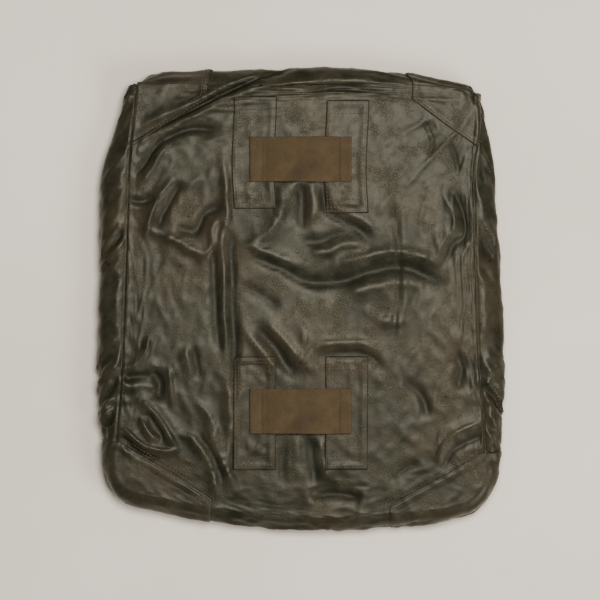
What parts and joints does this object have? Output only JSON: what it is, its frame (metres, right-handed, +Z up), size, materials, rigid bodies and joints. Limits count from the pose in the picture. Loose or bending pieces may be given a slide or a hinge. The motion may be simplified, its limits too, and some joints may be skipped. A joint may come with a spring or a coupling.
{
  "type": "chemical protective suit carry bag",
  "caption": "Flat gusseted carry bag of rubberised cloth with webbing belt loops and a flap closed by press studs, packed with a folded chemical protective suit.",
  "frame": {"origin": "on the ground, in the middle of the bag as it lies on its front", "axes": "+Z up, out of the back panel with the belt loops; +Y towards the mouth; +X to the right as seen from above"},
  "size_m": [0.406, 0.46, 0.0388],
  "materials": {
    "bag_cloth": "dark olive rubber coating, half gloss, creased and stained",
    "patch_cloth": "the same coating, a little drier",
    "loop_webbing": "matt brown cotton weave",
    "stud_metal": "dark oxidised brass",
    "suit_cloth": "grey-green rubber coating, half gloss"
  },
  "bodies": {
    "bag": {"back_panel": "bag_cloth", "belt_loop_lower": "loop_webbing", "belt_loop_upper": "loop_webbing", "bottom_fold": "bag_cloth", "corner_patch_bottom_left": "patch_cloth", "corner_patch_bottom_right": "patch_cloth", "corner_patch_top_left": "patch_cloth", "corner_patch_top_right": "patch_cloth", "folded_jacket": "suit_cloth", "folded_trousers": "suit_cloth", "front_panel": "bag_cloth", "loop_backing_lower_left": "patch_cloth", "loop_backing_lower_right": "patch_cloth", "loop_backing_upper_left": "patch_cloth", "loop_backing_upper_right": "patch_cloth", "loop_patch_lower_left": "patch_cloth", "loop_patch_lower_right": "patch_cloth", "loop_patch_upper_left": "patch_cloth", "loop_patch_upper_right": "patch_cloth", "mouth_hem": "bag_cloth", "side_gusset_left": "bag_cloth", "side_gusset_right": "bag_cloth", "snap_post_left": "stud_metal", "snap_post_middle": "stud_metal", "snap_post_right": "stud_metal", "snap_stud_left": "stud_metal", "snap_stud_middle": "stud_metal", "snap_stud_right": "stud_metal", "stud_strip": "patch_cloth"},
    "fold": {"corner_turn_left": "patch_cloth", "corner_turn_right": "patch_cloth", "top_fold": "bag_cloth"},
    "flap": {"flap": "bag_cloth", "flap_hem": "bag_cloth", "snap_cap_left": "stud_metal", "snap_cap_middle": "stud_metal", "snap_cap_right": "stud_metal", "snap_socket_left": "stud_metal", "snap_socket_middle": "stud_metal", "snap_socket_right": "stud_metal"}
  },
  "joints": [
    {"name": "fold_open", "type": "hinge", "parent": "bag", "child": "fold", "pos_m": [0, 0.212, 0.0319], "axis": [1, 0, 0], "range_deg": [0, 90]},
    {"name": "flap_open", "type": "hinge", "parent": "fold", "child": "flap", "pos_m": [0, 0.212, 0.0018], "axis": [1, 0, 0], "range_deg": [0, 90]}
  ]
}
